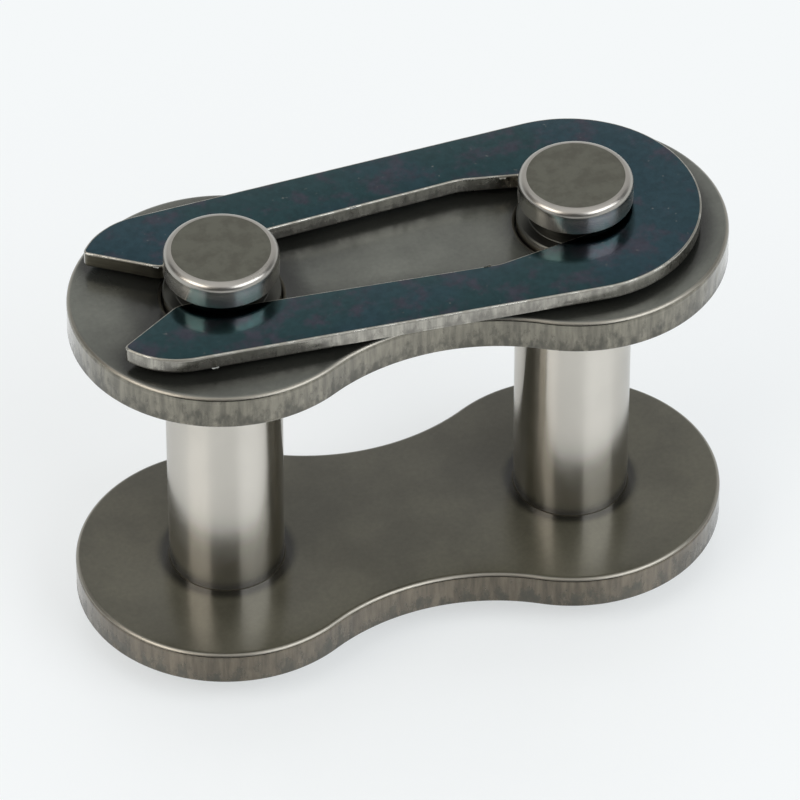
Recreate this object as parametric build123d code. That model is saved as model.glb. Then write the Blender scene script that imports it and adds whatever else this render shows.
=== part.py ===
from build123d import *

import os
from math import radians, sqrt, tan

# Connecting link of a roller chain, spring-clip type, standing on its riveted pin ends.
# X runs along the link from the left pin (the clip's open end) to the right pin (its closed end),
# Y across it, Z up. The origin is midway between the pins, on the surface that the link stands on.
# All sizes are in millimetres.

# Link
PITCH = 15.875
PIN_DIAMETER = 5.08
INNER_WIDTH = 13.41

# Outer plates, punched from strip
PLATE_HEIGHT = 13.3
PLATE_WAIST = 9.16
PLATE_THICKNESS = 1.6
PLATE_TOP_BREAK = 0.18
PLATE_BURR_BREAK = 0.06
HOLE_EDGE_CHAMFER = 0.15
SLIP_CLEARANCE = 0.05
PRESS_INTERFERENCE = 0.01

# Pins, turned, with a clip groove under the head and a riveted tail
TAIL_LENGTH = 1.45
RIVET_SPREAD = 0.16
RIVET_RISE = 0.38
RIVET_BAND = 0.16
RIVET_TAPER = 0.46
RIVET_BEVEL = 0.54
HEAD_RELIEF = 0.05
HEAD_HEIGHT = 1.25
HEAD_EDGE_RADIUS = 0.34
GROOVE_DEPTH = 0.54
GROOVE_PLAY = 0.25
GROOVE_EDGE_CHAMFER = 0.06

# Spring clip, blanked from strip
CLIP_THICKNESS = 0.7
CLIP_RISE = 0.42
CLIP_TOP_BREAK = 0.05
SEAT_CLEARANCE = 0.05
CLIP_END_INSET = 0.98
CLIP_END_SETBACK = 0.25
LEG_INSET = 1.85
TIP_RADIUS = 3.45
TIP_REACH = 2.33
HEAD_PASS_CLEARANCE = 0.36
HEAD_PASS_SETBACK = 4.5
SNAP_BITE = 0.7
THROAT_LENGTH = 0.8
THROAT_RADIUS = 0.9
MOUTH_HALF_ANGLE = 33.0
TIP_CORNER_RADIUS = 0.22

# Places that follow from the sizes above
PIN_X = PITCH / 2
PIN_RADIUS = PIN_DIAMETER / 2
PLATE_RADIUS = PLATE_HEIGHT / 2
FIXED_PLATE_Z = TAIL_LENGTH
LOOSE_PLATE_Z = FIXED_PLATE_Z + PLATE_THICKNESS + INNER_WIDTH
GROOVE_Z = LOOSE_PLATE_Z + PLATE_THICKNESS + CLIP_RISE
HEAD_Z = GROOVE_Z + CLIP_THICKNESS + GROOVE_PLAY
HEAD_RADIUS = PIN_RADIUS - HEAD_RELIEF
NECK_RADIUS = PIN_RADIUS - GROOVE_DEPTH
SEAT_RADIUS = NECK_RADIUS + SEAT_CLEARANCE
HEAD_PASS_RADIUS = HEAD_RADIUS + HEAD_PASS_CLEARANCE
THROAT_HALF_GAP = NECK_RADIUS - SNAP_BITE
THROAT_X = -PIN_X - sqrt(SEAT_RADIUS**2 - THROAT_HALF_GAP**2) - THROAT_LENGTH


def waisted_outline():
    """Figure-of-eight plate outline: a round end about each pin, joined by two hollow arcs."""
    half_waist = PLATE_WAIST / 2
    waist_radius = (PIN_X**2 + half_waist**2 - PLATE_RADIUS**2) / (2 * (PLATE_RADIUS - half_waist))
    waist_centre = half_waist + waist_radius
    share = PLATE_RADIUS / (PLATE_RADIUS + waist_radius)
    touch_x = PIN_X * (1 - share)
    touch_y = waist_centre * share
    end_x = PIN_X + PLATE_RADIUS
    arcs = [
        ThreePointArc((-touch_x, touch_y), (0, half_waist), (touch_x, touch_y)),
        ThreePointArc((touch_x, touch_y), (end_x, 0), (touch_x, -touch_y)),
        ThreePointArc((touch_x, -touch_y), (0, -half_waist), (-touch_x, -touch_y)),
        ThreePointArc((-touch_x, -touch_y), (-end_x, 0), (-touch_x, touch_y)),
    ]
    return make_face(arcs)


def link_plate(floor_z, hole_radius):
    """One punched plate: its upper edge and hole edges are drawn in, its lower edge is deburred."""
    blank = extrude(waisted_outline(), amount=PLATE_THICKNESS)
    top_edges = blank.faces().sort_by(Axis.Z)[-1].edges()
    blank = chamfer(top_edges, PLATE_TOP_BREAK)
    bottom_edges = blank.faces().sort_by(Axis.Z)[0].edges()
    blank = chamfer(bottom_edges, PLATE_BURR_BREAK)
    for x in (-PIN_X, PIN_X):
        blank -= Pos(x, 0, PLATE_THICKNESS / 2) * Cylinder(hole_radius, 2 * PLATE_THICKNESS)
    upper_arcs = blank.faces().sort_by(Axis.Z)[-1].edges().filter_by(GeomType.CIRCLE)
    hole_rims = upper_arcs.sort_by(SortBy.RADIUS)[:2]
    return Pos(0, 0, floor_z) * chamfer(hole_rims, HOLE_EDGE_CHAMFER)


def pin_outline():
    """Half section of a pin in the XZ plane, from the riveted tail up to the head."""
    flat_radius = PIN_RADIUS - RIVET_BEVEL
    rim_radius = PIN_RADIUS + RIVET_SPREAD
    rim_top = RIVET_RISE + RIVET_BAND
    head_top = HEAD_Z + HEAD_HEIGHT
    flank = GROOVE_EDGE_CHAMFER
    outline = Polyline(
        (0, 0),
        (flat_radius, 0),
        (rim_radius, RIVET_RISE),
        (rim_radius, rim_top),
        (PIN_RADIUS, rim_top + RIVET_TAPER),
        (PIN_RADIUS, GROOVE_Z - flank),
        (PIN_RADIUS - flank, GROOVE_Z),
        (NECK_RADIUS, GROOVE_Z),
        (NECK_RADIUS, HEAD_Z),
        (HEAD_RADIUS - flank, HEAD_Z),
        (HEAD_RADIUS, HEAD_Z + flank),
        (HEAD_RADIUS, head_top),
        (0, head_top),
        close=True,
    )
    return Plane.XZ * make_face(outline)


def riveted_pin(x):
    """Turned pin: rounded head, clip groove, ground shank and the spread tail it is riveted by."""
    pin = revolve(pin_outline(), Axis.Z)
    head_edge = pin.edges().filter_by(GeomType.CIRCLE).group_by(Axis.Z)[-1]
    return Pos(x, 0, 0) * fillet(head_edge, HEAD_EDGE_RADIUS)


def circle_at(x, y, radius):
    """A circle's edge, for a hull."""
    return (Pos(x, y) * Circle(radius)).edge()


def clip_blank():
    """Outer outline of the clip: a round closed end whose sides taper to two rounded tips."""
    closed_end = circle_at(PIN_X - CLIP_END_SETBACK, 0, PLATE_RADIUS - CLIP_END_INSET)
    tip_x = -PIN_X - TIP_REACH
    tip_y = PLATE_RADIUS - LEG_INSET - TIP_RADIUS
    tips = [circle_at(tip_x, side * tip_y, TIP_RADIUS) for side in (-1, 1)]
    return make_hull([closed_end, *tips])


def clip_slot():
    """Slot between the legs: a seat round each pin's neck, and a wide part that a head passes."""
    seats = [circle_at(x, 0, SEAT_RADIUS) for x in (-PIN_X, PIN_X)]
    head_pass = circle_at(PIN_X - HEAD_PASS_SETBACK, 0, HEAD_PASS_RADIUS)
    return make_hull([*seats, head_pass])


def clip_mouth():
    """Throat that snaps over the left pin's neck, opening outwards in a V between the tips."""
    run = TIP_REACH + 2 * TIP_RADIUS
    outer_x = THROAT_X - run
    outer_y = THROAT_HALF_GAP + run * tan(radians(MOUTH_HALF_ANGLE))
    corners = [
        (-PIN_X, THROAT_HALF_GAP),
        (THROAT_X, THROAT_HALF_GAP),
        (outer_x, outer_y),
        (outer_x, -outer_y),
        (THROAT_X, -THROAT_HALF_GAP),
        (-PIN_X, -THROAT_HALF_GAP),
    ]
    return make_face(Polyline(*corners, close=True))


def spring_clip():
    """The clip, lying on the lower flanks of both pin grooves."""
    outline = clip_blank() - clip_slot() - clip_mouth()
    clip = extrude(outline, amount=CLIP_THICKNESS)
    corners = clip.edges().filter_by(Axis.Z)
    beside = THROAT_LENGTH / 4
    throat_corners = corners.filter_by_position(Axis.X, THROAT_X - beside, THROAT_X + beside)
    clip = fillet(throat_corners, THROAT_RADIUS)
    tip_corners = clip.edges().filter_by(Axis.Z).group_by(Axis.X)[0]
    clip = fillet(tip_corners, TIP_CORNER_RADIUS)
    top_edges = clip.faces().sort_by(Axis.Z)[-1].edges()
    return Pos(0, 0, GROOVE_Z) * chamfer(top_edges, CLIP_TOP_BREAK)


parts = {
    "fixed_plate": link_plate(FIXED_PLATE_Z, PIN_RADIUS - PRESS_INTERFERENCE),
    "loose_plate": link_plate(LOOSE_PLATE_Z, PIN_RADIUS + SLIP_CLEARANCE),
    "pin_left": riveted_pin(-PIN_X),
    "pin_right": riveted_pin(PIN_X),
    "spring_clip": spring_clip(),
}

os.makedirs("parts", exist_ok=True)
for name, solid in parts.items():
    export_step(solid, f"parts/{name}.step")
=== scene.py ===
from math import acos, atan2, cos, pi, radians, sin, sqrt, tan

import bmesh
import bpy
from bpy.props import FloatProperty, FloatVectorProperty, PointerProperty
from mathutils import Matrix, Vector, noise


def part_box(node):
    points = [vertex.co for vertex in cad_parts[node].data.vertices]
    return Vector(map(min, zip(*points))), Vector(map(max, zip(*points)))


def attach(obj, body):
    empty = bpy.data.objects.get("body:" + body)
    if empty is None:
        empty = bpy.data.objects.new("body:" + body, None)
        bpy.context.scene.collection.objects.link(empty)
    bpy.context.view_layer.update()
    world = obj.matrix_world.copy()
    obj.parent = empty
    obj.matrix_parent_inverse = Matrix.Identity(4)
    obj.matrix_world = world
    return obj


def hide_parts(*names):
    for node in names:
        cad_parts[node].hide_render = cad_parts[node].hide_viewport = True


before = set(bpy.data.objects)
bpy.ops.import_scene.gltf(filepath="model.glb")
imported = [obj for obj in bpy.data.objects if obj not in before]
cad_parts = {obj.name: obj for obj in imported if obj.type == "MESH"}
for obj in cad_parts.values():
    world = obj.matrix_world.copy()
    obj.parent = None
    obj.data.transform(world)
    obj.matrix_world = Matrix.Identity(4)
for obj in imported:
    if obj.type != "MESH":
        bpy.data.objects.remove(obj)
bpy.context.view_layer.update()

# The looks of a roller chain's connecting link, spring-clip type: two waisted plates punched from
# strip, two turned pins riveted into the lower one, and a blued clip in the grooves under their heads.
# X runs from the pin at the clip's open end to the pin at its closed end, Z up. Lengths are in metres,
# and one that is written in millimetres is multiplied by MM.

bl_info = {
    "name": "Roller Chain Connecting Link",
    "version": (1, 0, 0),
    "blender": (4, 5, 0),
    "location": "3D View > Sidebar > Connecting Link",
    "description": "Builds a spring-clip connecting link of a roller chain, piece by piece",
    "category": "Add Mesh",
}

MM = 0.001
TINY = 1e-6
FIXED_LOW, FIXED_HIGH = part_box("fixed_plate")
LOOSE_LOW, LOOSE_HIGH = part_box("loose_plate")
PIN_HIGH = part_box("pin_left")[1]
CLIP_LOW, CLIP_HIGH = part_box("spring_clip")

# How finely the meshes are made
OUTLINE_STEP = 0.11 * MM
WALL_ROW = 0.1 * MM
LATHE_STEPS = 160

# A face this near level is flat. Edges that turn by more than these angles are sharp, or a blank's rim.
LEVEL = 0.9999
SHARP_ANGLE = radians(34)
RIM_ANGLE = radians(57)

# The roughness of a sheared wall: how wide its scores and torn pits are, how far each pattern is drawn
# out upright, how torn the wall is at its foot, and how fast that fades on the way up
SCORE_WIDTH, SCORE_DRAW = 0.26 * MM, 0.1
PIT_WIDTH, PIT_DRAW = 0.5 * MM, 0.7
TORN_FOOT, TORN_FADE = 0.25, 0.8

# A curl of metal: its radius and taper as shares of its length, its thickness as a share of its radius
CURL_RADIUS = 0.16
CURL_TAPER = 0.6
CURL_THICKNESS = 0.1
CURL_TURN = radians(200)

# The stage
FLOOR_RADIUS = 1.6
CARD_WIDTH, CARD_HEIGHT, CARD_DISTANCE = 0.44, 0.62, 0.31
CARD_BLACK = (0.02, 0.02, 0.02)

# Material slots of a plate or the clip, and of a pin
FLAT, WALL, EDGE, MOUTH = range(4)
POLISHED, END_FACE, GROOVE = range(3)

# Numbers of the Mix node's sockets, whose names are shared, and options that several nodes have
FACTOR, COLOUR_A, COLOUR_B, MIXED = 0, 6, 7, 2
NUMBER_A, NUMBER_B = 2, 3
BLEND = {"data_type": "RGBA"}
TINT = {"data_type": "RGBA", "blend_type": "MULTIPLY"}
SMOOTH = {"interpolation_type": "SMOOTHSTEP"}

# Most values of a noise texture lie in this span
SPREAD = {"From Min": 0.3, "From Max": 0.7}


def srgb(code):
    """A written sRGB colour, such as "#c8c4ba", as linear red, green and blue."""
    levels = [int(code[i:i + 2], 16) / 255 for i in (1, 3, 5)]
    return [c / 12.92 if c <= 0.04045 else ((c + 0.055) / 1.055) ** 2.4 for c in levels]


def length(name, description, millimetres):
    """A length, written in millimetres and kept in metres."""
    return FloatProperty(name=name, description=description, default=millimetres * MM, unit="LENGTH",
                         precision=5)


def degrees(name, description, value):
    """An angle, written in degrees."""
    return FloatProperty(name=name, description=description, default=radians(value), unit="ROTATION")


def fraction(name, description, value):
    """A share between none and all."""
    return FloatProperty(name=name, description=description, default=value, subtype="FACTOR", min=0,
                         max=1)


def radiance(name, description, value):
    """The brightness of a lamp or a wall, where 1 is white."""
    return FloatProperty(name=name, description=description, default=value, min=0)


def colour(name, description, code):
    """A colour, written as its sRGB hex value."""
    return FloatVectorProperty(name=name, description=description, default=srgb(code), size=3,
                               subtype="COLOR", min=0, max=1)


class PlateSizes(bpy.types.PropertyGroup):
    """Sizes and colours of the two punched plates."""
    pin_reach: length("Pin reach", "From the middle of the link to a pin", 7.9375)
    end_radius: length("End radius", "Round end of a plate about its pin", 6.65)
    half_waist: length("Half waist", "Half the width of a plate at its middle", 4.58)
    die_roll: length("Die roll", "Round that punching leaves on the upper edge", 0.24)
    burr_round: length("Burr round", "Round that tumbling leaves on the lower edge", 0.06)
    press_hole: length("Press hole", "Radius of the fixed plate's holes", 2.53)
    slip_hole: length("Slip hole", "Radius of the loose plate's holes", 2.59)
    press_break: length("Press hole edge", "Round on the upper edge of a fixed plate's hole", 0.05)
    slip_break: length("Slip hole edge", "Round on the upper edge of a loose plate's hole", 0.15)
    score_depth: length("Score depth", "Upright scores on the sheared wall", 0.01)
    tear_depth: length("Tear depth", "Torn pits in the lower part of the sheared wall", 0.022)
    lower_colour: colour("Lower face", "Tumbled faces of the fixed plate", "#525044")
    upper_colour: colour("Upper face", "Tumbled faces of the loose plate", "#61635c")
    rolled_colour: colour("Rolled edge", "Rounded edges that tumbling has rubbed bright", "#918d83")
    worn_share: fraction("Wear", "How much paler the rubbed places of a face are", 0.16)
    # Painted shade: the fixed plate's walls are coloured darker than the loose plate's, standing in for the
    # shadowed floor that they mirror close below them.
    shaded_lower_wall: colour("Lower wall", "Sheared walls of the fixed plate", "#696154")
    upper_wall: colour("Upper wall", "Sheared walls of the loose plate", "#797569")
    tear_colour: colour("Tear", "Dark pits in the sheared walls", "#504e45")
    seam_colour: colour("Seam", "Oil and dirt in the hole edges round the pins", "#5c5a52")


class PinSizes(bpy.types.PropertyGroup):
    """Sizes and colours of the two pins."""
    shank_radius: length("Shank radius", "Ground shank that a bush turns on", 2.54)
    neck_radius: length("Neck radius", "Bottom of the clip groove", 2.0)
    head_radius: length("Head radius", "Head above the clip groove", 2.49)
    head_round: length("Head round", "Rounded upper edge of the head", 0.36)
    head_height: length("Head height", "From the groove's upper flank to the top of the head", 1.25)
    groove_edge: length("Groove edge", "Bevel on both edges of the clip groove", 0.06)
    tail_dish: length("Tail dish", "Depth of the hollow that riveting leaves in the tail's end", 0.1)
    tail_flat: length("Tail flat", "Radius of the flat end of the riveted tail", 2.0)
    rivet_radius: length("Rivet radius", "Widest place of the riveted tail", 2.7)
    rivet_rise: length("Rivet rise", "Height of the widest place of the tail", 0.46)
    rivet_top: length("Rivet top", "Where the spread tail meets the shank", 1.0)
    shank_colour: colour("Shank", "Polished steel", "#cac6be")
    groove_colour: colour("Groove", "Clip groove, as turned and hardened, dark with oil", "#54544f")
    head_colour: colour("Head face", "Satin end face of the head", "#6f6f65")
    stain_colour: colour("Head stain", "Darker mottling on the end face", "#65645b")


class ClipSizes(bpy.types.PropertyGroup):
    """Sizes and colours of the spring clip."""
    closed_radius: length("Closed end radius", "Outer round at the closed end", 5.67)
    closed_setback: length("Closed end setback", "From the pin back to the middle of that round", 0.25)
    tip_radius: length("Tip radius", "Outer round of each open tip", 3.45)
    tip_reach: length("Tip reach", "From the pin out to the middle of the tip round", 2.33)
    tip_inset: length("Tip inset", "From the plate's edge in to the tip round", 1.85)
    tip_corner: length("Tip corner", "Round between the tip and the mouth", 0.22)
    seat_radius: length("Seat radius", "Seat round each pin's neck", 2.05)
    pass_radius: length("Pass radius", "Wide part of the slot, which a head passes", 2.85)
    pass_setback: length("Pass setback", "From the right pin back to the wide part", 4.5)
    throat_gap: length("Throat gap", "Half the gap that snaps over the left neck", 1.3)
    throat_length: length("Throat length", "Straight part of the throat", 0.8)
    throat_round: length("Throat round", "Round where the mouth opens", 0.9)
    mouth_angle: degrees("Mouth angle", "Slope of each side of the mouth", 33)
    edge_round: length("Edge round", "Round that blanking leaves on the upper edge", 0.08)
    lower_round: length("Lower round", "Round on the lower edge", 0.03)
    score_depth: length("Score depth", "Upright scores on the blanked walls", 0.008)
    tear_depth: length("Tear depth", "Torn pits in the blanked walls", 0.015)
    blue_colour: colour("Blue", "Blued flat faces", "#2f4750")
    teal_colour: colour("Teal", "Thinner oxide, greener", "#2c464a")
    purple_colour: colour("Purple", "Thicker oxide, in drifting patches", "#464450")
    nick_colour: colour("Nick", "Bare steel where the oxide is nicked", "#7d7e7b")
    edge_colour: colour("Rubbed edge", "Edges that handling has rubbed bright", "#a9a79f")
    wall_colour: colour("Wall", "Bare blanked walls", "#96938a")
    tear_colour: colour("Tear", "Dark pits in the blanked walls", "#74716a")
    # The mouth's walls are drawn darker than the other blanked walls, and matte.
    mouth_colour: colour("Mouth", "Oily walls of the mouth", "#6a675c")


class StageSizes(bpy.types.PropertyGroup):
    """Camera, floor and lamps."""
    azimuth: degrees("Azimuth", "Turn of the camera round the link", -17.502)
    elevation: degrees("Elevation", "Height of the camera above the floor", 42.257)
    distance: length("Distance", "From the camera to the point it looks at", 338.82)
    aim: FloatVectorProperty(name="Aim", description="Point that the camera looks at", size=3,
                             unit="LENGTH", default=(-1.934 * MM, -6.224 * MM, 15.743 * MM), precision=5)
    lens: FloatProperty(name="Lens", description="Focal length in millimetres on a 36 mm frame",
                        default=358.92)
    floor_colour: colour("Floor", "Plain satin floor", "#f5f8f9")
    shadow_lift: fraction("Shadow lift", "How far the floor under the link stays pale", 0.6)
    side_sky: radiance("Room sides", "Light of the room above and beside the link", 0.1)
    back_sky: radiance("Room back", "Light of the wall behind the link", 0.72)
    left_level: radiance("Left lamp", "Brightness of the lamp at front left", 4.2)
    right_level: radiance("Right lamp", "Brightness of the lamp at front right", 4.2)
    top_level: radiance("Top lamp", "Brightness of the lamp overhead", 0.8)


# Shader helpers


def feed(tree, node, inputs):
    """Gives a node's inputs their values. A node stands for its first output, which is linked."""
    for name, value in inputs.items():
        if isinstance(value, bpy.types.Node):
            value = value.outputs[0]
        if isinstance(value, bpy.types.NodeSocket):
            tree.links.new(value, node.inputs[name])
        else:
            node.inputs[name].default_value = value


def add(tree, kind, inputs, **settings):
    """Adds one shader node. Settings are its own options. Inputs go by name, or by number where they
    share one."""
    made = tree.nodes.new("ShaderNode" + kind)
    for name, value in settings.items():
        setattr(made, name, value)
    feed(tree, made, inputs)
    return made


def across(millimetres):
    """Scale of a pattern on Object coordinates whose features are this far apart."""
    return 1 / (millimetres * MM)


def opaque(values):
    """A colour as a socket takes it."""
    return (*values, 1)


def new_material(name):
    """An empty node material: itself, its tree, its surface shader and the Object coordinates."""
    made = bpy.data.materials.new(name)
    made.use_nodes = True
    tree = made.node_tree
    tree.nodes.clear()
    surface = add(tree, "BsdfPrincipled", {})
    add(tree, "OutputMaterial", {"Surface": surface})
    return made, tree, surface, add(tree, "TexCoord", {}).outputs["Object"]


# Materials


def tumbled_strip_steel(name, sizes, face_colour, smooth, metal, shade_reach_left, shade_reach_right):
    """Hardened and tumbled strip steel: a dark satin oxide, rubbed bright on rounded edges, with painted
    shade where another piece sits close. The real grain is too fine to show, so it is drawn 0.22 mm wide."""
    made, tree, surface, place = new_material(name)
    cloud = add(tree, "TexNoise", {"Vector": place, "Scale": across(4.5), "Detail": 3, "Roughness": 0.55})
    grain = add(tree, "TexNoise", {"Vector": place, "Scale": across(0.22), "Detail": 3, "Roughness": 0.6})
    worn = add(tree, "MapRange", {"Value": cloud, "From Min": 0.35, "From Max": 0.65,
                                  "To Min": 1 - sizes.worn_share, "To Max": 1 + sizes.worn_share}, **SMOOTH)
    speck = add(tree, "MapRange", {"Value": grain, **SPREAD, "To Min": 0.9, "To Max": 1.07})
    along = add(tree, "SeparateXYZ", {"Vector": place})
    reach = add(tree, "MapRange", {"Value": along.outputs["X"], "From Min": -9 * MM, "From Max": 9 * MM,
                                   "To Min": shade_reach_left, "To Max": shade_reach_right})
    # Painted shade: ambient occlusion darkens the face where another piece sits close above it, within a
    # reach that runs from the one given for the left end to the one given for the right end.
    occlusion = add(tree, "AmbientOcclusion", {"Distance": reach}, samples=8)
    painted_shade = add(tree, "MapRange", {"Value": occlusion.outputs["AO"], "From Min": 0.75, "From Max": 0.97,
                                   "To Min": 0.2})
    worn_grain = add(tree, "Math", {0: worn, 1: speck}, operation="MULTIPLY")
    shade = add(tree, "Math", {0: worn_grain, 1: painted_shade}, operation="MULTIPLY")
    dark = add(tree, "Mix", {FACTOR: 1.0, COLOUR_A: opaque(face_colour), COLOUR_B: shade}, **TINT)
    slope = add(tree, "SeparateXYZ", {"Vector": add(tree, "NewGeometry", {}).outputs["Normal"]})
    rubbed = add(tree, "MapRange", {"Value": slope.outputs["Z"], "From Min": 0.99, "From Max": 0.8},
                 **SMOOTH)
    bare = add(tree, "MapRange", {"Value": rubbed, "To Min": metal, "To Max": 1})
    tone = add(tree, "Mix", {FACTOR: rubbed, COLOUR_A: dark.outputs[MIXED],
                             COLOUR_B: opaque(sizes.rolled_colour)}, **BLEND)
    sheen = add(tree, "MapRange", {"Value": cloud, **SPREAD, "To Min": smooth, "To Max": smooth + 0.06})
    brushed = add(tree, "Math", {0: rubbed, 1: 0.14, 2: sheen}, operation="MULTIPLY_ADD")
    peened = add(tree, "Bump", {"Height": grain, "Strength": 0.06, "Distance": 0.01 * MM})
    wavy = add(tree, "TexNoise", {"Vector": place, "Scale": across(1.6), "Detail": 1})
    rolled = add(tree, "Bump", {"Height": wavy, "Strength": 0.06, "Distance": 0.04 * MM,
                                "Normal": peened})
    feed(tree, surface, {"Base Color": tone.outputs[MIXED], "Metallic": bare, "Roughness": brushed,
                         "Normal": rolled, "Coat Weight": 0.25, "Coat Roughness": 0.1})
    return made


def sheared_steel(name, wall_colour, tear_colour, low, high):
    """Steel as a punch leaves it: burnished and scored above, torn and darker below, under a thin film
    of oil that shines where the wall turns away."""
    made, tree, surface, place = new_material(name)
    squeezed = add(tree, "Mapping", {"Vector": place, "Scale": (1, 1, 0.12)})
    scores = add(tree, "TexNoise", {"Vector": squeezed, "Scale": across(0.3), "Detail": 3,
                                    "Roughness": 0.65})
    drawn = add(tree, "Mapping", {"Vector": place, "Scale": (1, 1, 0.5)})
    pits = add(tree, "TexNoise", {"Vector": drawn, "Scale": across(0.42), "Detail": 3, "Roughness": 0.6})
    height = add(tree, "SeparateXYZ", {"Vector": place})
    lower = add(tree, "MapRange", {"Value": height.outputs["Z"], "From Min": low, "From Max": high,
                                   "To Min": 0.16, "To Max": -0.1}, **SMOOTH)
    torn = add(tree, "Math", {0: pits, 1: lower}, operation="ADD")
    pitted = add(tree, "MapRange", {"Value": torn, "From Min": 0.46, "From Max": 0.8}, **SMOOTH)
    streak = add(tree, "MapRange", {"Value": scores, "From Min": 0.34, "From Max": 0.64,
                                    "To Min": 0.68, "To Max": 1.25})
    streaked = add(tree, "Mix", {FACTOR: 1.0, COLOUR_A: opaque(wall_colour), COLOUR_B: streak}, **TINT)
    tone = add(tree, "Mix", {FACTOR: pitted, COLOUR_A: streaked.outputs[MIXED],
                             COLOUR_B: opaque(tear_colour)}, **BLEND)
    rough = add(tree, "MapRange", {"Value": pitted, "To Min": 0.2, "To Max": 0.4})
    scored = add(tree, "Bump", {"Height": scores, "Strength": 0.2, "Distance": 0.02 * MM})
    ragged = add(tree, "Bump", {"Height": pits, "Strength": 0.2, "Distance": 0.03 * MM, "Normal": scored})
    feed(tree, surface, {"Base Color": tone.outputs[MIXED], "Metallic": 1, "Roughness": rough,
                         "Normal": ragged, "Coat Weight": 0.8, "Coat Roughness": 0.15})
    return made


def polished_pin_steel(sizes):
    """Turned and polished alloy steel: a pale mirror that its fine rings draw out upright, softer on the
    head and dull on its tumbled edge. Real rings are too fine to show, so they are drawn 0.12 mm apart."""
    made, tree, surface, place = new_material("polished_pin_steel")
    head_low, head_high = PIN_HIGH.z - 1.4 * MM, PIN_HIGH.z - 1.3 * MM
    edge_low, edge_high = PIN_HIGH.z - 0.5 * MM, PIN_HIGH.z - 0.25 * MM
    rings = add(tree, "Mapping", {"Vector": place, "Scale": (0.02, 0.02, 1)})
    turned = add(tree, "TexNoise", {"Vector": rings, "Scale": across(0.12), "Detail": 2})
    smear = add(tree, "TexNoise", {"Vector": place, "Scale": across(2.2), "Detail": 3, "Roughness": 0.6})
    shade = add(tree, "MapRange", {"Value": smear, **SPREAD, "To Min": 0.93, "To Max": 1.04})
    height = add(tree, "SeparateXYZ", {"Vector": place})
    tumbled = add(tree, "MapRange", {"Value": height.outputs["Z"], "From Min": edge_low,
                                     "From Max": edge_high, "To Max": 0.2})
    dulled = add(tree, "Math", {0: tumbled, 1: -1.5, 2: shade}, operation="MULTIPLY_ADD")
    tone = add(tree, "Mix", {FACTOR: 1.0, COLOUR_A: opaque(sizes.shank_colour), COLOUR_B: dulled}, **TINT)
    rough = add(tree, "MapRange", {"Value": smear, **SPREAD, "To Min": 0.13, "To Max": 0.17})
    head = add(tree, "MapRange", {"Value": height.outputs["Z"], "From Min": head_low,
                                  "From Max": head_high, "To Max": 0.06})
    turned_head = add(tree, "Math", {0: rough, 1: head}, operation="ADD")
    soft = add(tree, "Math", {0: tumbled, 1: 0.4, 2: turned_head}, operation="MULTIPLY_ADD")
    drawn = add(tree, "MapRange", {"Value": height.outputs["Z"], "From Min": edge_low,
                                   "From Max": edge_high, "To Min": 1, "To Max": 0})
    normal = add(tree, "NewGeometry", {}).outputs["Normal"]
    ringwise = add(tree, "VectorMath", {0: normal, 1: (0, 0, 1)}, operation="CROSS_PRODUCT")
    lathed = add(tree, "Bump", {"Height": turned, "Strength": 0.05, "Distance": 0.003 * MM})
    feed(tree, surface, {"Base Color": tone.outputs[MIXED], "Metallic": 1, "Roughness": soft,
                         "Normal": lathed, "Tangent": ringwise, "Anisotropic": drawn,
                         "Anisotropic Rotation": 0.25})
    return made


def dark_matte_steel(name, shade_colour):
    """Turned or punched steel that no polishing reaches: dark and matte."""
    made, tree, surface, place = new_material(name)
    rings = add(tree, "Mapping", {"Vector": place, "Scale": (0.05, 0.05, 1)})
    turned = add(tree, "TexNoise", {"Vector": rings, "Scale": across(0.1), "Detail": 3})
    shade = add(tree, "MapRange", {"Value": turned, **SPREAD, "To Min": 0.75, "To Max": 1.1})
    tone = add(tree, "Mix", {FACTOR: 1.0, COLOUR_A: opaque(shade_colour), COLOUR_B: shade}, **TINT)
    tool = add(tree, "Bump", {"Height": turned, "Strength": 0.3, "Distance": 0.01 * MM})
    feed(tree, surface, {"Base Color": tone.outputs[MIXED], "Metallic": 1, "Roughness": 0.38,
                         "Normal": tool})
    return made


def rubbed_edge_steel(name, wall_colour, bright_colour):
    """Edges that handling has rubbed bright in places: short shiny runs between duller ones."""
    made, tree, surface, place = new_material(name)
    runs = add(tree, "TexNoise", {"Vector": place, "Scale": across(0.7), "Detail": 3, "Roughness": 0.65})
    rubbed = add(tree, "MapRange", {"Value": runs, "From Min": 0.44, "From Max": 0.6}, **SMOOTH)
    tone = add(tree, "Mix", {FACTOR: rubbed, COLOUR_A: opaque(wall_colour),
                             COLOUR_B: opaque(bright_colour)}, **BLEND)
    rough = add(tree, "MapRange", {"Value": rubbed, "To Min": 0.45, "To Max": 0.26})
    dented = add(tree, "Bump", {"Height": runs, "Strength": 0.4, "Distance": 0.02 * MM})
    feed(tree, surface, {"Base Color": tone.outputs[MIXED], "Metallic": 1, "Roughness": rough,
                         "Normal": dented})
    return made


def satin_end_steel(sizes):
    """Cropped and heat-treated end face of a pin: satin, mottled, and a little browner than the shank.
    Its grain is drawn 0.16 mm wide, as coarse as it needs to show."""
    made, tree, surface, place = new_material("satin_end_steel")
    mottle = add(tree, "TexNoise", {"Vector": place, "Scale": across(0.9), "Detail": 4, "Roughness": 0.62})
    grain = add(tree, "TexNoise", {"Vector": place, "Scale": across(0.16), "Detail": 3})
    patch = add(tree, "MapRange", {"Value": mottle, "From Min": 0.4, "From Max": 0.64}, **SMOOTH)
    tone = add(tree, "Mix", {FACTOR: patch, COLOUR_A: opaque(sizes.head_colour),
                             COLOUR_B: opaque(sizes.stain_colour)}, **BLEND)
    rough = add(tree, "MapRange", {"Value": mottle, **SPREAD, "To Min": 0.3, "To Max": 0.42})
    bitten = add(tree, "Bump", {"Height": grain, "Strength": 0.12, "Distance": 0.01 * MM})
    feed(tree, surface, {"Base Color": tone.outputs[MIXED], "Metallic": 1, "Roughness": rough,
                         "Normal": bitten})
    return made


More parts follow.
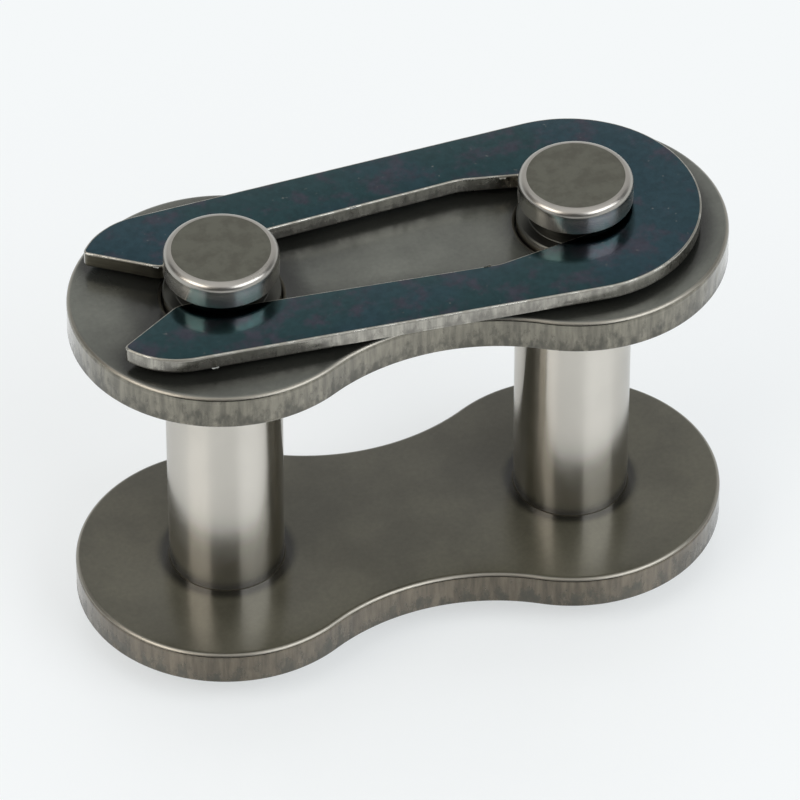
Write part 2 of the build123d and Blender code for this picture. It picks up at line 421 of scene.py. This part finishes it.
def blued_spring_steel(sizes):
    """Polished strip, blued by heat and oiled: a dark slate gloss whose oxide drifts from teal to purple
    grey, with bright nicks. The oxide's grain is drawn 0.28 mm wide, as coarse as it needs to show."""
    made, tree, surface, place = new_material("blued_spring_steel")
    drift = add(tree, "TexNoise", {"Vector": place, "Scale": across(6), "Detail": 2, "Roughness": 0.5})
    fine = add(tree, "TexNoise", {"Vector": place, "Scale": across(1.3), "Detail": 4, "Roughness": 0.6})
    greener = add(tree, "MapRange", {"Value": drift, "From Min": 0.42, "From Max": 0.56}, **SMOOTH)
    film = add(tree, "Mix", {FACTOR: greener, COLOUR_A: opaque(sizes.blue_colour),
                             COLOUR_B: opaque(sizes.teal_colour)}, **BLEND)
    thick = add(tree, "MapRange", {"Value": fine, "From Min": 0.47, "From Max": 0.66,
                                   "To Max": 0.8}, **SMOOTH)
    purple = add(tree, "Mix", {FACTOR: thick, COLOUR_A: film.outputs[MIXED],
                               COLOUR_B: opaque(sizes.purple_colour)}, **BLEND)
    grain = add(tree, "TexNoise", {"Vector": place, "Scale": across(0.28), "Detail": 2, "Roughness": 0.6})
    speckle = add(tree, "MapRange", {"Value": grain, "From Min": 0.32, "From Max": 0.68,
                                     "To Min": 0.86, "To Max": 1.12})
    grained = add(tree, "Mix", {FACTOR: 1.0, COLOUR_A: purple.outputs[MIXED], COLOUR_B: speckle}, **TINT)
    specks = add(tree, "TexNoise", {"Vector": place, "Scale": across(0.3), "Detail": 2, "Roughness": 0.6})
    nicked = add(tree, "MapRange", {"Value": specks, "From Min": 0.68, "From Max": 0.78,
                                    "To Max": 0.7}, **SMOOTH)
    tone = add(tree, "Mix", {FACTOR: nicked, COLOUR_A: grained.outputs[MIXED],
                             COLOUR_B: opaque(sizes.nick_colour)}, **BLEND)
    rough = add(tree, "MapRange", {"Value": fine, **SPREAD, "To Min": 0.14, "To Max": 0.22})
    dents = add(tree, "TexNoise", {"Vector": place, "Scale": across(1.1), "Detail": 2})
    rippled = add(tree, "Bump", {"Height": dents, "Strength": 0.06, "Distance": 0.03 * MM})
    feed(tree, surface, {"Base Color": tone.outputs[MIXED], "Metallic": 1, "Roughness": rough,
                         "Normal": rippled, "Coat Weight": 0.2, "Coat Roughness": 0.05})
    return made


def satin_board(sizes):
    """Plain satin board: it keeps the link's shadow near it, and far off it is as pale as the room."""
    made, tree, surface, place = new_material("satin_board")
    feed(tree, surface, {"Base Color": opaque(sizes.floor_colour), "Roughness": 0.34,
                         "Specular IOR Level": 1})
    far = add(tree, "VectorMath", {0: place}, operation="LENGTH")
    fade = add(tree, "MapRange", {"Value": far.outputs["Value"], "From Min": 12 * MM,
                                  "From Max": 45 * MM}, **SMOOTH)
    ray = add(tree, "LightPath", {})
    seen = add(tree, "Math", {0: ray.outputs["Is Glossy Ray"], 1: ray.outputs["Is Transmission Ray"]},
               operation="MAXIMUM")
    lifted = add(tree, "MapRange", {"Value": fade, "To Min": sizes.shadow_lift})
    mirrored = add(tree, "Math", {0: fade, 1: seen}, operation="MULTIPLY")
    share = add(tree, "Mix", {FACTOR: ray.outputs["Is Camera Ray"], NUMBER_A: mirrored,
                              NUMBER_B: lifted}, data_type="FLOAT")
    glow = add(tree, "Emission", {"Color": opaque(sizes.floor_colour), "Strength": 1.0})
    mixed = add(tree, "MixShader", {0: share, 1: surface, 2: glow})
    output = next(n for n in tree.nodes if n.type == "OUTPUT_MATERIAL")
    feed(tree, output, {"Surface": mixed})
    return made


# Mesh helpers


def last_vertex(spun):
    """The vertex that a spin ended at."""
    return next(g for g in spun["geom_last"] if isinstance(g, bmesh.types.BMVert))


def follow(bm, vertex, centre, angle):
    """Carries an outline on from its last vertex, round a centre, and returns the vertex it ends at."""
    pivot = Vector((*centre, 0))
    steps = max(3, round(abs(angle) * (vertex.co - pivot).length / OUTLINE_STEP))
    return last_vertex(bmesh.ops.spin(bm, geom=[vertex], cent=pivot, axis=(0, 0, 1), angle=angle,
                                      steps=steps))


def run(bm, vertex, end):
    """Carries an outline straight on to a point, in equal steps, and returns the vertex it ends at."""
    path = Vector((*end, 0)) - vertex.co
    steps = max(1, round(path.length / OUTLINE_STEP))
    return last_vertex(bmesh.ops.spin(bm, geom=[vertex], cent=(0, 0, 0), axis=(0, 0, 1), dvec=path / steps,
                                      steps=steps))


def thicken(bm, thickness):
    """Turns a flat face into a blank with walls."""
    raised = bmesh.ops.extrude_face_region(bm, geom=bm.faces[:], use_keep_orig=True)
    moved = [g for g in raised["geom"] if isinstance(g, bmesh.types.BMVert)]
    bmesh.ops.translate(bm, verts=moved, vec=(0, 0, thickness))
    bmesh.ops.recalc_face_normals(bm, faces=bm.faces)


def rims(bm, level, wanted):
    """Edges at a level where a flat face meets a wall, at the places that a test wants."""
    return [e for e in bm.edges if len(e.link_faces) == 2 and e.calc_face_angle() > RIM_ANGLE
            and all(abs(v.co.z - level) < TINY and wanted(v.co) for v in e.verts)]


def round_off(bm, edges, radius, segments):
    """Rounds edges to a radius."""
    bmesh.ops.bevel(bm, geom=edges, offset=radius, offset_type="OFFSET", affect="EDGES", segments=segments,
                    profile=0.5, material=-1, clamp_overlap=False)


def shear_walls(bm, sizes, thickness, wanted):
    """Gives a blank's walls rows of faces, and works in the upright scores and the shear's torn pits."""
    uprights = [e for e in bm.edges if abs(e.verts[0].co.z - e.verts[1].co.z) > thickness / 2
                and all(wanted(v.co) for v in e.verts)]
    rows = max(2, round(thickness / WALL_ROW))
    bmesh.ops.subdivide_edges(bm, edges=uprights, cuts=rows, use_grid_fill=True)
    bm.normal_update()
    most_tilt = 0.05
    apart = Vector((7, 3, 5))
    work = []
    for v in bm.verts:
        if abs(v.normal.z) > most_tilt or not wanted(v.co):
            continue
        share = v.co.z / thickness
        score = noise.noise(Vector((v.co.x, v.co.y, v.co.z * SCORE_DRAW)) / SCORE_WIDTH)
        pit = noise.noise(Vector((v.co.x, v.co.y, v.co.z * PIT_DRAW)) / PIT_WIDTH + apart)
        torn = max(0, pit + TORN_FOOT - share * TORN_FADE)
        work.append((v, v.normal * (sizes.score_depth * (score + 1) / 2 + sizes.tear_depth * torn)))
    for v, cut in work:
        v.co -= cut


def mark_walls(bm, limit):
    """Faces that lie flatter than a limit get the slot FLAT and the rest WALL. All but level ones shade
    smoothly."""
    for face in bm.faces:
        flatness = abs(face.normal.z)
        face.smooth = flatness < LEVEL
        face.material_index = FLAT if flatness > limit else WALL


def place_mesh(bm, name, *materials):
    """Turns a finished mesh into an object of the scene."""
    mesh = bpy.data.meshes.new(name)
    bm.to_mesh(mesh)
    bm.free()
    for material in materials:
        mesh.materials.append(material)
    made = bpy.data.objects.new(name, mesh)
    bpy.context.scene.collection.objects.link(made)
    return made


def make_piece(bm, name, level, body, materials, node):
    """Makes a finished mesh a piece, at its level, that rides on its body and stands for its CAD node."""
    bmesh.ops.translate(bm, verts=bm.verts, vec=(0, 0, level))
    piece = place_mesh(bm, name, *materials)
    piece.data.set_sharp_from_angle(angle=SHARP_ANGLE)
    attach(piece, body)
    if node:
        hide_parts(node)


# Pieces


def plate_blank(sizes, hole_radius, hole_break, thickness):
    """A waisted plate at floor level: its outline is four arcs, drawn by carrying one vertex round."""
    reach, end, waist = sizes.pin_reach, sizes.end_radius, sizes.half_waist
    waist_radius = (reach ** 2 + waist ** 2 - end ** 2) / (2 * (end - waist))
    waist_centre = waist + waist_radius
    share = end / (end + waist_radius)
    touch = Vector((reach * (1 - share), waist_centre * share))
    end_turn = 2 * atan2(touch.y, touch.x - reach)
    waist_turn = -2 * atan2(touch.x, waist_centre - touch.y)
    bm = bmesh.new()
    last = bm.verts.new((touch.x, -touch.y, 0))
    for side in (1, -1):
        last = follow(bm, last, (side * reach, 0), end_turn)
        last = follow(bm, last, (0, side * waist_centre), waist_turn)
    bmesh.ops.remove_doubles(bm, verts=bm.verts, dist=TINY)
    for side in (1, -1):
        bmesh.ops.create_circle(bm, segments=LATHE_STEPS, radius=hole_radius,
                                matrix=Matrix.Translation((side * reach, 0, 0)))
    bmesh.ops.triangle_fill(bm, edges=bm.edges, use_beauty=True, normal=(0, 0, 1))
    thicken(bm, thickness)

    def from_pin(point):
        return (Vector((abs(point.x), point.y)) - Vector((reach, 0))).length

    def in_hole(point):
        return from_pin(point) < (hole_radius + end) / 2

    def outside(point):
        return not in_hole(point)

    round_off(bm, rims(bm, thickness, outside), sizes.die_roll, segments=6)
    round_off(bm, rims(bm, thickness, in_hole), hole_break, segments=3)
    round_off(bm, rims(bm, 0, outside), sizes.burr_round, segments=2)
    shear_walls(bm, sizes, thickness, outside)
    mark_walls(bm, limit=0.4)
    for face in bm.faces:
        if face.smooth and from_pin(face.calc_center_median()) < hole_radius + hole_break:
            face.material_index = EDGE
    return bm


class BuildPlates(bpy.types.Operator):
    """Build the two waisted plates, with their die roll and sheared walls"""
    bl_idname = "connecting_link.plates"
    bl_label = "Punched plates"

    def execute(self, context):
        sizes = context.scene.link_plates
        seam = dark_matte_steel("hole_seam", sizes.seam_colour)
        # The last two numbers of each finish are how far the painted shade near other pieces reaches at the
        # left and right end.
        lower = {"face_colour": sizes.lower_colour, "smooth": 0.2, "metal": 0.3,
                 "shade_reach_left": 0.7 * MM, "shade_reach_right": 0.6 * MM}
        upper = {"face_colour": sizes.upper_colour, "smooth": 0.22, "metal": 0.3,
                 "shade_reach_left": 2.6 * MM, "shade_reach_right": 1 * MM}
        for node, body, low, high, hole, hole_break, wall_colour, finish in (
            ("fixed_plate", "pinned_plate", FIXED_LOW.z, FIXED_HIGH.z, sizes.press_hole,
             sizes.press_break, sizes.shaded_lower_wall, lower),
            ("loose_plate", "loose_plate", LOOSE_LOW.z, LOOSE_HIGH.z, sizes.slip_hole,
             sizes.slip_break, sizes.upper_wall, upper),
        ):
            face = tumbled_strip_steel("tumbled_" + node, sizes, **finish)
            wall = sheared_steel("sheared_" + node, wall_colour, sizes.tear_colour, low, high)
            bm = plate_blank(sizes, hole, hole_break, high - low)
            make_piece(bm, "punched_" + node, low, body, (face, wall, seam), node)
        return {"FINISHED"}


def lathe(profile, x):
    """Turns a profile of (radius, height, rounding, segments) about the Z axis at x."""
    bm = bmesh.new()
    points = [bm.verts.new((radius, 0, z)) for radius, z, _, _ in profile]
    for start, end in zip(points, points[1:]):
        bm.edges.new((start, end))
    for point, (_, _, rounding, segments) in zip(points, profile):
        if rounding:
            bmesh.ops.bevel(bm, geom=[point], offset=rounding, offset_type="OFFSET", affect="VERTICES",
                            segments=segments, profile=0.5, material=-1)
    bmesh.ops.spin(bm, geom=bm.verts[:] + bm.edges[:], cent=(0, 0, 0), axis=(0, 0, 1), angle=2 * pi,
                   steps=LATHE_STEPS, use_merge=True)
    bmesh.ops.remove_doubles(bm, verts=bm.verts, dist=TINY)
    bmesh.ops.recalc_face_normals(bm, faces=bm.faces)
    bmesh.ops.translate(bm, verts=bm.verts, vec=(x, 0, 0))
    return bm


class BuildPins(bpy.types.Operator):
    """Turn the two pins, from the riveted tail up to the rounded head"""
    bl_idname = "connecting_link.pins"
    bl_label = "Riveted pins"

    def execute(self, context):
        sizes = context.scene.link_pins
        reach = context.scene.link_plates.pin_reach
        head_top, groove_low = PIN_HIGH.z, CLIP_LOW.z
        groove_top = head_top - sizes.head_height
        shank, neck, head = sizes.shank_radius, sizes.neck_radius, sizes.head_radius
        edge, dish = sizes.groove_edge, sizes.tail_dish
        # Radius, height, rounding and its segments, from the middle of the tail to the middle of the head
        profile = (
            (0, dish, 0, 0),
            (0.5 * MM, dish / 2, 0.1 * MM, 3),
            (0.95 * MM, 0, 0.12 * MM, 3),
            (sizes.tail_flat, 0, 0.2 * MM, 5),
            (sizes.rivet_radius, sizes.rivet_rise, 0.14 * MM, 6),
            (shank, sizes.rivet_top, 0.2 * MM, 4),
            (shank, groove_low - edge, 0, 0),
            (shank - edge, groove_low, 0.02 * MM, 2),
            (neck, groove_low, 0.05 * MM, 3),
            (neck, groove_top, 0.05 * MM, 3),
            (head - edge, groove_top, 0.02 * MM, 2),
            (head, groove_top + edge, 0.03 * MM, 2),
            (head, head_top, sizes.head_round, 10),
            (0, head_top, 0, 0),
        )
        finishes = (polished_pin_steel(sizes), satin_end_steel(sizes),
                    dark_matte_steel("turned_groove", sizes.groove_colour))
        for side, node in ((-1, "pin_left"), (1, "pin_right")):
            bm = lathe(profile, side * reach)
            for face in bm.faces:
                level = face.calc_center_median().z
                end_face = face.normal.z > LEVEL and level > head_top - TINY
                in_groove = groove_low - edge < level < groove_top + TINY
                face.material_index = END_FACE if end_face else GROOVE if in_groove else POLISHED
                face.smooth = not end_face
            make_piece(bm, "turned_" + node, 0, "pinned_plate", finishes, node)
        return {"FINISHED"}


def tangent(first, first_radius, second, second_radius, side):
    """Direction from both centres to the points where one line touches two circles on one side."""
    path = Vector(second) - Vector(first)
    return atan2(path.y, path.x) + side * acos((first_radius - second_radius) / path.length)


def on_circle(centre, radius, angle):
    """The point of a circle in a direction."""
    return centre[0] + radius * cos(angle), centre[1] + radius * sin(angle)


def clip_blank(sizes, reach, plate_end, thickness):
    """The clip at floor level: half its outline is carried round from the closed end, then mirrored."""
    closed = (reach - sizes.closed_setback, 0)
    tip = (-reach - sizes.tip_reach, plate_end - sizes.tip_inset - sizes.tip_radius)
    left_seat, right_seat = (-reach, 0), (reach, 0)
    wide = (reach - sizes.pass_setback, 0)
    gap, slope = sizes.throat_gap, sizes.mouth_angle
    seat = sizes.seat_radius
    throat_end = -reach - sqrt(seat ** 2 - gap ** 2)
    mouth = throat_end - sizes.throat_length

    # The round at the tip lies inside the tip's own arc and touches the mouth's side.
    away = Vector((sin(slope), cos(slope)))
    along = Vector((-cos(slope), sin(slope)))
    corner = sizes.tip_corner
    start = Vector((mouth, gap)) + away * corner - Vector(tip)
    middle = start.dot(along)
    travel = -middle + sqrt(middle ** 2 - start.length_squared + (sizes.tip_radius - corner) ** 2)
    tip_corner = Vector(tip) + start + along * travel
    outward = atan2(tip_corner.y - tip[1], tip_corner.x - tip[0]) % (2 * pi)
    mouth_side = atan2(-away.y, -away.x) % (2 * pi)

    top = tangent(closed, sizes.closed_radius, tip, sizes.tip_radius, -1) % (2 * pi)
    left_rise = tangent(left_seat, seat, wide, sizes.pass_radius, 1)
    right_fall = tangent(wide, sizes.pass_radius, right_seat, seat, 1)
    throat_round = sizes.throat_round
    throat_centre = (mouth + throat_round * tan(slope / 2), gap + throat_round)

    bm = bmesh.new()
    last = bm.verts.new((closed[0] + sizes.closed_radius, 0, 0))
    last = follow(bm, last, closed, top)
    last = run(bm, last, on_circle(tip, sizes.tip_radius, top))
    last = follow(bm, last, tip, outward - top)
    last = follow(bm, last, tip_corner, mouth_side - outward)
    last = run(bm, last, on_circle(throat_centre, throat_round, mouth_side))
    last = follow(bm, last, throat_centre, slope)
    last = run(bm, last, (throat_end, gap))
    last = follow(bm, last, left_seat, left_rise - (pi - atan2(gap, left_seat[0] - throat_end)))
    last = run(bm, last, on_circle(wide, sizes.pass_radius, left_rise))
    last = follow(bm, last, wide, right_fall - left_rise)
    last = run(bm, last, on_circle(right_seat, seat, right_fall))
    follow(bm, last, right_seat, -right_fall)
    bmesh.ops.mirror(bm, geom=bm.verts[:] + bm.edges[:], merge_dist=TINY, axis="Y")
    bmesh.ops.remove_doubles(bm, verts=bm.verts, dist=TINY)
    bmesh.ops.triangle_fill(bm, edges=bm.edges, use_beauty=True, normal=(0, 0, 1))
    thicken(bm, thickness)

    def anywhere(point):
        return True

    round_off(bm, rims(bm, thickness, anywhere), sizes.edge_round, segments=4)
    round_off(bm, rims(bm, 0, anywhere), sizes.lower_round, segments=2)
    shear_walls(bm, sizes, thickness, anywhere)
    mark_walls(bm, limit=0.97)
    faces_up, faces_in = 0.1, 0.6
    for face in bm.faces:
        place = face.calc_center_median()
        inwards = -face.normal.y if place.y > 0 else face.normal.y
        if face.smooth and face.normal.z > faces_up:
            face.material_index = EDGE
        elif face.material_index == WALL and place.x < -reach and inwards > faces_in:
            face.material_index = MOUTH
    return bm


class BuildClip(bpy.types.Operator):
    """Blank the spring clip, with its slot, throat and mouth"""
    bl_idname = "connecting_link.clip"
    bl_label = "Spring clip"

    def execute(self, context):
        sizes, plates = context.scene.link_clip, context.scene.link_plates
        low, high = CLIP_LOW.z, CLIP_HIGH.z
        blue = blued_spring_steel(sizes)
        bare = sheared_steel("blanked_clip_edge", sizes.wall_colour, sizes.tear_colour, low, high)
        edge = rubbed_edge_steel("rubbed_clip_edge", sizes.wall_colour, sizes.edge_colour)
        mouth = dark_matte_steel("dark_clip_mouth", sizes.mouth_colour)
        bm = clip_blank(sizes, plates.pin_reach, plates.end_radius, high - low)
        make_piece(bm, "blanked_clip", low, "spring_clip",
                   (blue, bare, edge, mouth), "spring_clip")
        return {"FINISHED"}


def curl(bm, x, y, z, turn, long):
    """A sliver of metal, rolled over by the die: an edge spun most of the way round, thinned outwards."""
    made = bmesh.new()
    ends = [made.verts.new((side * long / 2, 0, 0)) for side in (-1, 1)]
    edge = made.edges.new(ends)
    bmesh.ops.subdivide_edges(made, edges=[edge], cuts=3)
    radius = CURL_RADIUS * long
    bmesh.ops.spin(made, geom=made.verts[:] + made.edges[:], cent=(0, radius, 0), axis=(1, 0, 0),
                   angle=CURL_TURN, steps=10)
    for v in made.verts:
        v.co.x *= 1 - CURL_TAPER * abs(v.co.y) / (2 * radius)
        v.co.z *= 1 - (v.co.x / long) ** 2
    bmesh.ops.solidify(made, geom=made.faces[:], thickness=CURL_THICKNESS * radius)
    bmesh.ops.recalc_face_normals(made, faces=made.faces)
    bmesh.ops.rotate(made, verts=made.verts, matrix=Matrix.Rotation(turn, 3, "Z"))
    bmesh.ops.translate(made, verts=made.verts, vec=(x, y, z))
    mesh = bpy.data.meshes.new("curl")
    made.to_mesh(mesh)
    made.free()
    bm.from_mesh(mesh)
    bpy.data.meshes.remove(mesh)


class BuildBurrs(bpy.types.Operator):
    """Raise the small bright curls of metal that blanking left along the clip's edges"""
    bl_idname = "connecting_link.burrs"
    bl_label = "Burrs on the clip"

    def execute(self, context):
        sizes = context.scene.link_clip
        # A curl hangs 0.06 mm below its own height: the lowest stays over the clip's underside,
        # which the loose plate rises to within 0.02 mm of.
        room = 0.07 * MM
        lower_edge = CLIP_HIGH.z - CLIP_LOW.z - room
        bm = bmesh.new()
        for x, y, below, turn, long in (
            (3.05, -3.12, 0, 4, 0.8),
            (5.45, 2.47, 0, 170, 0.34),
            (-1.29, 2.52, 0, 184, 0.3),
            (-10.45, 1.36, 0, 147, 0.3),
            (-9.66, -4.86, lower_edge, 180, 0.34),
        ):
            curl(bm, x * MM, y * MM, CLIP_HIGH.z - below, radians(turn), long * MM)
        for face in bm.faces:
            face.smooth = True
        bright = rubbed_edge_steel("bright_burr", sizes.edge_colour, sizes.nick_colour)
        make_piece(bm, "clip_burrs", 0, "spring_clip", (bright,), None)
        return {"FINISHED"}


def towards(azimuth, rise):
    """Direction from the link to what stands so far round from its front, and so high."""
    return Vector((sin(azimuth) * cos(rise), -cos(azimuth) * cos(rise), sin(rise)))


class BuildStage(bpy.types.Operator):
    """Lay the pale floor, hang the soft lamps and set the camera"""
    bl_idname = "connecting_link.stage"
    bl_label = "Floor, lamps and camera"

    def execute(self, context):
        sizes = context.scene.link_stage
        self.lay_floor(sizes)
        self.light_room(sizes)
        self.hang_lamps(sizes)
        self.stand_card(sizes)
        self.set_camera(context, sizes)
        return {"FINISHED"}

    def lay_floor(self, sizes):
        """The floor is a wide round board."""
        bm = bmesh.new()
        bmesh.ops.create_circle(bm, cap_ends=True, segments=96, radius=FLOOR_RADIUS)
        floor = place_mesh(bm, "floor", satin_board(sizes))

    def light_room(self, sizes):
        """The room is as pale as the floor at the horizon. Above it, the wall behind the link is bright
        and the rest is dim."""
        world = bpy.data.worlds.new("room")
        bpy.context.scene.world = world
        world.use_nodes = True
        tree = world.node_tree
        tree.nodes.clear()
        aim = add(tree, "TexCoord", {}).outputs["Generated"]
        up = add(tree, "SeparateXYZ", {"Vector": aim})
        rise = add(tree, "MapRange", {"Value": up.outputs["Z"], "From Min": 0.1, "From Max": 0.36},
                   **SMOOTH)
        away = add(tree, "VectorMath", {0: aim, 1: (-sin(sizes.azimuth), cos(sizes.azimuth), 0)},
                   operation="DOT_PRODUCT")
        behind = add(tree, "MapRange", {"Value": away.outputs["Value"], "From Min": 0.3, "From Max": 0.7,
                                        "To Min": sizes.side_sky, "To Max": sizes.back_sky}, **SMOOTH)
        tone = add(tree, "Mix", {FACTOR: rise, COLOUR_A: opaque(sizes.floor_colour), COLOUR_B: behind},
                   **BLEND)
        ray = add(tree, "LightPath", {})
        seen = add(tree, "Mix", {FACTOR: ray.outputs["Is Camera Ray"], COLOUR_A: tone.outputs[MIXED],
                                 COLOUR_B: opaque(sizes.floor_colour)}, **BLEND)
        glow = add(tree, "Background", {"Color": seen.outputs[MIXED], "Strength": 1.0})
        add(tree, "OutputWorld", {"Surface": glow})

    def hang_lamps(self, sizes):
        """Two soft boxes stand upright either side of the camera, and one hangs overhead."""
        overhead = 84
        for name, turn, rise, reach, wide, tall, level, tint in (
            ("lamp_left", -54, 42, 0.404, 0.25, 0.22, sizes.left_level, "#fff8f0"),
            ("lamp_right", 54, 42, 0.404, 0.37, 0.22, sizes.right_level, "#f8fbff"),
            ("lamp_top", 0, overhead, 0.36, 0.66, 0.5, sizes.top_level, "#ffffff"),
        ):
            lamp = bpy.data.lights.new(name, "AREA")
            lamp.shape = "RECTANGLE"
            lamp.size, lamp.size_y = wide, tall
            lamp.color = srgb(tint)
            lamp.energy = level * pi * wide * tall
            back = towards(sizes.azimuth + radians(turn), radians(rise))
            hung = bpy.data.objects.new(name, lamp)
            hung.location = back * reach
            facing = back if rise == overhead else Vector((back.x, back.y, 0))
            hung.rotation_euler = facing.to_track_quat("Z", "Y").to_euler()
            hung.visible_camera = False
            bpy.context.scene.collection.objects.link(hung)

    def stand_card(self, sizes):
        """A black card behind the camera, between the lamps, gives bright metal its dark streaks."""
        bm = bmesh.new()
        bmesh.ops.create_grid(bm, x_segments=1, y_segments=1, size=0.5)
        bmesh.ops.scale(bm, verts=bm.verts, vec=(CARD_WIDTH, CARD_HEIGHT, 1))
        bmesh.ops.rotate(bm, verts=bm.verts, matrix=Matrix.Rotation(radians(90), 3, "X"))
        bmesh.ops.translate(bm, verts=bm.verts, vec=(0, -CARD_DISTANCE, CARD_HEIGHT / 2))
        bmesh.ops.rotate(bm, verts=bm.verts, matrix=Matrix.Rotation(sizes.azimuth, 3, "Z"))
        black, tree, surface, _ = new_material("black_card")
        feed(tree, surface, {"Base Color": opaque(CARD_BLACK), "Roughness": 0.9})
        card = place_mesh(bm, "black_card", black)
        card.visible_camera = False

    def set_camera(self, context, sizes):
        """The camera stands where the photograph was taken from."""
        azimuth = sizes.azimuth
        back = towards(azimuth, sizes.elevation)
        right = Vector((cos(azimuth), sin(azimuth), 0))
        turn = Matrix((right, back.cross(right), back)).transposed().to_4x4()
        lens = bpy.data.cameras.new("camera")
        lens.lens = sizes.lens
        lens.clip_start, lens.clip_end = 0.02, 10
        camera = bpy.data.objects.new("camera", lens)
        camera.matrix_world = Matrix.Translation(Vector(sizes.aim) + back * sizes.distance) @ turn
        context.scene.collection.objects.link(camera)
        context.scene.camera = camera
        context.scene.view_settings.view_transform = "Standard"


class LinkPanel(bpy.types.Panel):
    """The link's pieces in the sidebar of the 3D view."""
    bl_idname = "VIEW3D_PT_connecting_link"
    bl_label = "Connecting Link"
    bl_space_type = "VIEW_3D"
    bl_region_type = "UI"
    bl_category = "Connecting Link"

    def draw(self, context):
        for operator in OPERATORS:
            self.layout.operator(operator.bl_idname)
        for name in SETTINGS:
            sizes = getattr(context.scene, name)
            box = self.layout.box()
            for prop in sizes.__annotations__:
                box.prop(sizes, prop)


SETTINGS = {
    "link_plates": PlateSizes,
    "link_pins": PinSizes,
    "link_clip": ClipSizes,
    "link_stage": StageSizes,
}
OPERATORS = (BuildPlates, BuildPins, BuildClip, BuildBurrs, BuildStage)


def register():
    """Gives Blender the classes, and the scene its settings."""
    for made in (*SETTINGS.values(), *OPERATORS, LinkPanel):
        bpy.utils.register_class(made)
    for name, group in SETTINGS.items():
        setattr(bpy.types.Scene, name, PointerProperty(type=group))


def unregister():
    """Takes the settings and the classes away again."""
    for name in SETTINGS:
        delattr(bpy.types.Scene, name)
    for made in reversed((*SETTINGS.values(), *OPERATORS, LinkPanel)):
        bpy.utils.unregister_class(made)


def main():
    """Builds the whole link in order."""
    register()
    bpy.ops.connecting_link.plates()
    bpy.ops.connecting_link.pins()
    bpy.ops.connecting_link.clip()
    bpy.ops.connecting_link.burrs()
    bpy.ops.connecting_link.stage()


if __name__ == "__main__":
    main()
